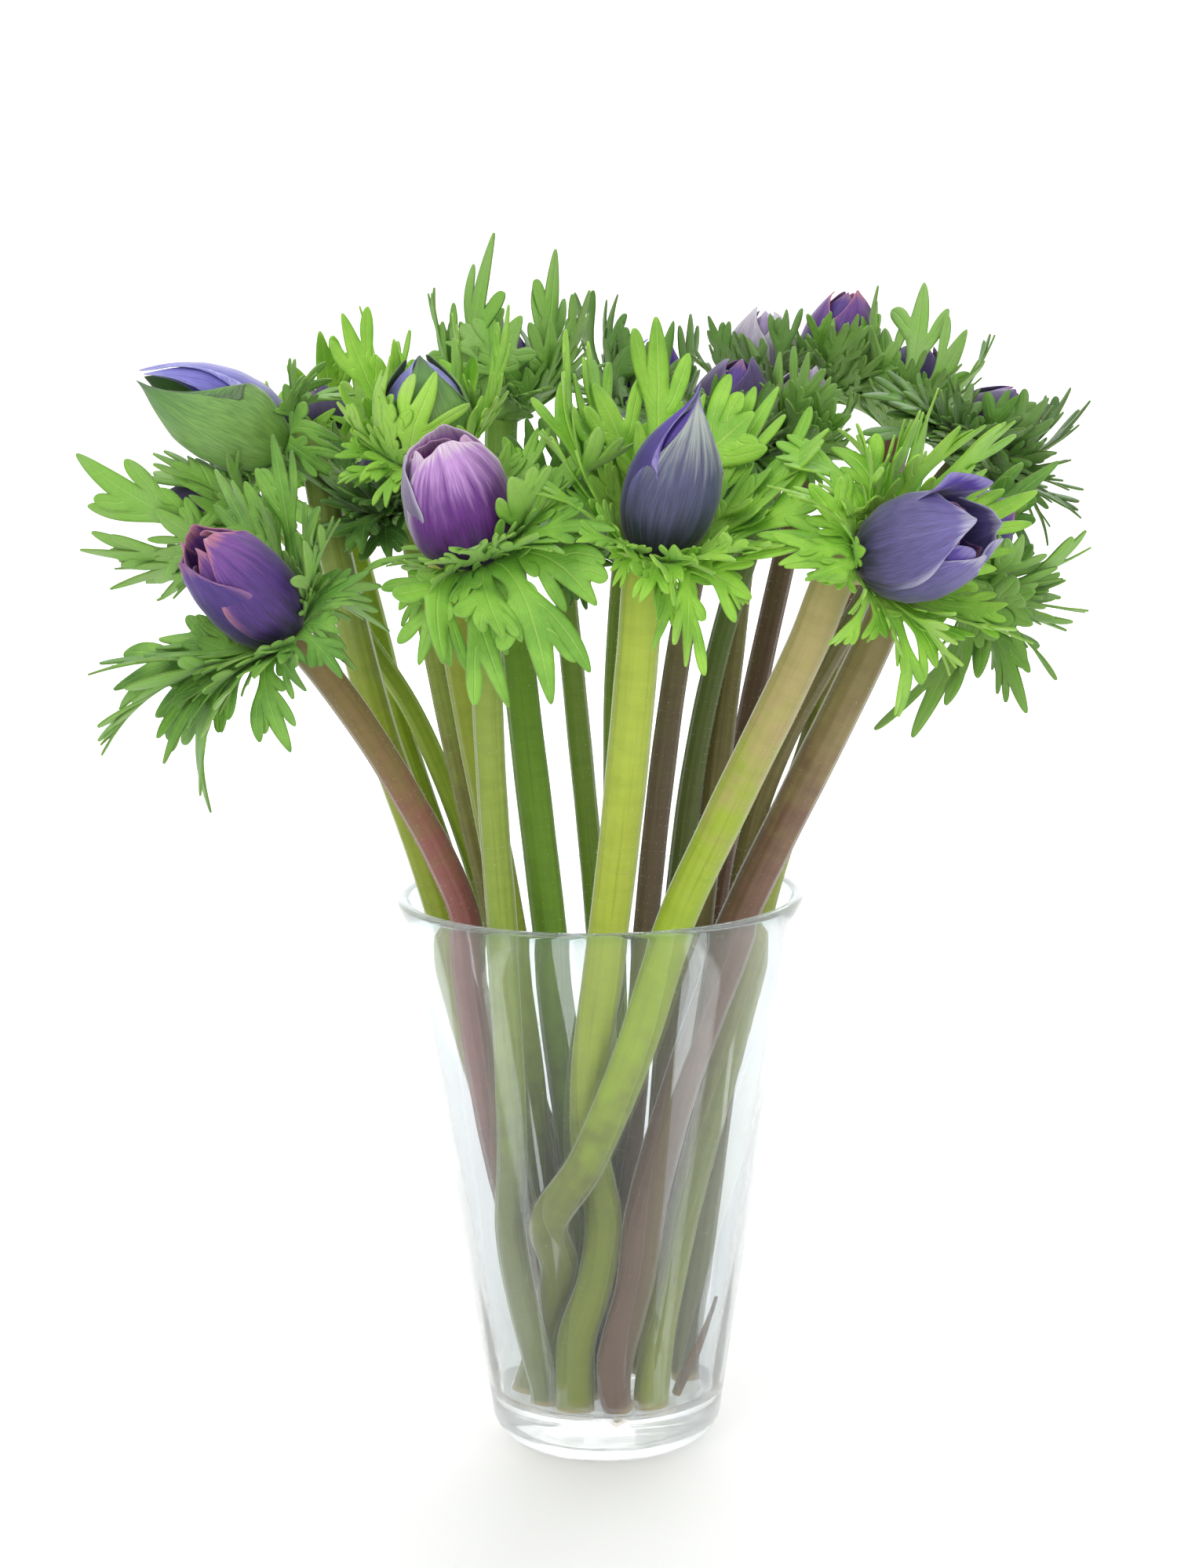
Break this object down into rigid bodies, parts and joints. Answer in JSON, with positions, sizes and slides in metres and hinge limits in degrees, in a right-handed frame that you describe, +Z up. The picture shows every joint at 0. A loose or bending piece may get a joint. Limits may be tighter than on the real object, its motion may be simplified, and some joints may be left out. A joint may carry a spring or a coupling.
{
  "type": "anemone flowers in a glass vase",
  "caption": "Cut anemone flowers with closed violet buds and feathery green leaf collars, standing in a tapered clear glass vase.",
  "frame": {"origin": "centre of the vase's foot, on the surface it stands on", "axes": "+Z up along the vase's axis, +X to the right as seen from the front, front towards -Y"},
  "size_m": [0.2429, 0.2065, 0.2883],
  "materials": {
    "clear_glass": "clear polished",
    "green_stem": "matte plant stem with fine hairs",
    "leaf_green": "matte leaf",
    "violet_petal": "silky petal",
    "dry_stalk": "dry and dull"
  },
  "bodies": {
    "root": {"bud_back_middle": "violet_petal", "bud_back_violet": "violet_petal", "bud_centre_front": "violet_petal", "bud_dark_back": "violet_petal", "bud_far_left": "violet_petal", "bud_green_bud": "violet_petal", "bud_left_back": "violet_petal", "bud_left_front": "violet_petal", "bud_left_middle": "violet_petal", "bud_left_top": "violet_petal", "bud_magenta": "violet_petal", "bud_pale_middle": "violet_petal", "bud_pale_top": "violet_petal", "bud_right_back": "violet_petal", "bud_right_front": "violet_petal", "bud_right_side": "violet_petal", "bud_right_upper": "violet_petal", "bud_top_centre": "violet_petal", "bud_violet_top": "violet_petal", "fallen_stalk": "dry_stalk", "leaves_back_middle": "leaf_green", "leaves_back_violet": "leaf_green", "leaves_centre_front": "leaf_green", "leaves_dark_back": "leaf_green", "leaves_far_left": "leaf_green", "leaves_green_bud": "leaf_green", "leaves_left_back": "leaf_green", "leaves_left_front": "leaf_green", "leaves_left_middle": "leaf_green", "leaves_left_top": "leaf_green", "leaves_magenta": "leaf_green", "leaves_pale_middle": "leaf_green", "leaves_pale_top": "leaf_green", "leaves_right_back": "leaf_green", "leaves_right_front": "leaf_green", "leaves_right_side": "leaf_green", "leaves_right_upper": "leaf_green", "leaves_top_centre": "leaf_green", "leaves_violet_top": "leaf_green", "stem_back_middle": "green_stem", "stem_back_violet": "green_stem", "stem_centre_front": "green_stem", "stem_dark_back": "green_stem", "stem_far_left": "green_stem", "stem_green_bud": "green_stem", "stem_left_back": "green_stem", "stem_left_front": "green_stem", "stem_left_middle": "green_stem", "stem_left_top": "green_stem", "stem_magenta": "green_stem", "stem_pale_middle": "green_stem", "stem_pale_top": "green_stem", "stem_right_back": "green_stem", "stem_right_front": "green_stem", "stem_right_side": "green_stem", "stem_right_upper": "green_stem", "stem_top_centre": "green_stem", "stem_violet_top": "green_stem", "vase": "clear_glass"}
  },
  "joints": []
}
